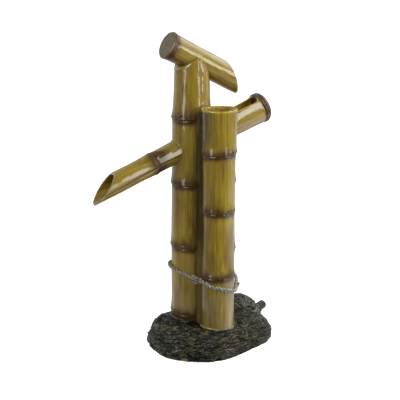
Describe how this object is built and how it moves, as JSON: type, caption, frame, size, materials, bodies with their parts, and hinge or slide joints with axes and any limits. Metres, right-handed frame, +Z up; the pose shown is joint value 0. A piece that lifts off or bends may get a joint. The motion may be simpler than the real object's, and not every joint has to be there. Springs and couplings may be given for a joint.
{
  "type": "bamboo pond spitter",
  "caption": "Pond fountain of bamboo-look canes on a layered rock foot: water leaves a slanted spout, drops into a sloping arm and pours from its open end.",
  "frame": {"origin": "on the floor, at the centre of the bounding box's footprint", "axes": "+Z up, +X along the pouring arm towards its high end, +Y to the back"},
  "size_m": [0.2822, 0.144, 0.4561],
  "materials": {
    "bamboo_resin": "painted resin under thick gloss varnish, vertical grain, brown stain at the joints",
    "end_resin": "painted resin, nearly matt",
    "bead_resin": "glossy",
    "dark_resin": "glossy, stained dark brown",
    "rock": "cast stone, painted, ochre dry-brushing, satin sealer",
    "rope": "twisted cord, greyed",
    "black_plastic": "moulded",
    "cover_plastic": "sheet, fine grain",
    "hose": "flexible hose",
    "rubber": "matt",
    "steel": "stainless"
  },
  "bodies": {
    "root": {"rock_base": "rock", "base_cover": "cover_plastic", "cover_screws": "steel", "foot_pads": "rubber", "tall_pole": "bamboo_resin", "front_pole": "bamboo_resin", "rear_pole": "bamboo_resin", "spout": "bamboo_resin", "spout_end_plug": "end_resin", "pouring_arm": "bamboo_resin", "arm_end_plug": "end_resin", "saddle_bead": "bead_resin", "arm_bead_low": "bead_resin", "arm_bead_high": "bead_resin", "rear_pole_bead": "bead_resin", "front_web": "dark_resin", "rear_web": "dark_resin", "foot_bead": "dark_resin", "rope_loop": "rope", "rope_knot": "rope", "rope_tails": "rope", "inlet_spigot": "black_plastic", "inlet_gland": "rubber", "inlet_hose": "hose", "base_elbow": "black_plastic", "riser_hose": "hose", "arm_grommets": "rubber", "spout_nozzle": "black_plastic", "hose_clips": "steel"}
  },
  "joints": []
}
